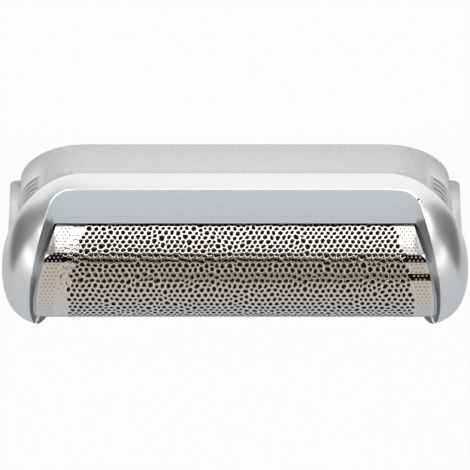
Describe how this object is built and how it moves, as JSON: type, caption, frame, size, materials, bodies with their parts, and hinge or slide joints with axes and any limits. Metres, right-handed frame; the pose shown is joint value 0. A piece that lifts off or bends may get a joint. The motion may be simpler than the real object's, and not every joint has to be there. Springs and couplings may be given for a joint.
{
  "type": "shaver foil head",
  "caption": "Foil head of an electric shaver: an arched perforated foil on its carrier, between leaning ears of a silver plastic frame whose skirt snaps onto the shaver.",
  "frame": {"origin": "middle of the skirt's open rim, on the plane that the head stands on", "axes": "+X along the foil, +Y to the rear, +Z out of the shaver, through the foil's crest"},
  "size_m": [0.056, 0.022, 0.0171],
  "materials": {
    "silver_plastic": "satin silver, metallic paint",
    "grey_plastic": "satin",
    "nickel_foil": "bright, etched at its ends",
    "strip_plastic": "matte"
  },
  "bodies": {
    "root": {"outer_frame": "silver_plastic", "foil_carrier": "grey_plastic", "foil": "nickel_foil", "foil_strip_front": "strip_plastic", "foil_strip_rear": "strip_plastic"}
  },
  "joints": []
}
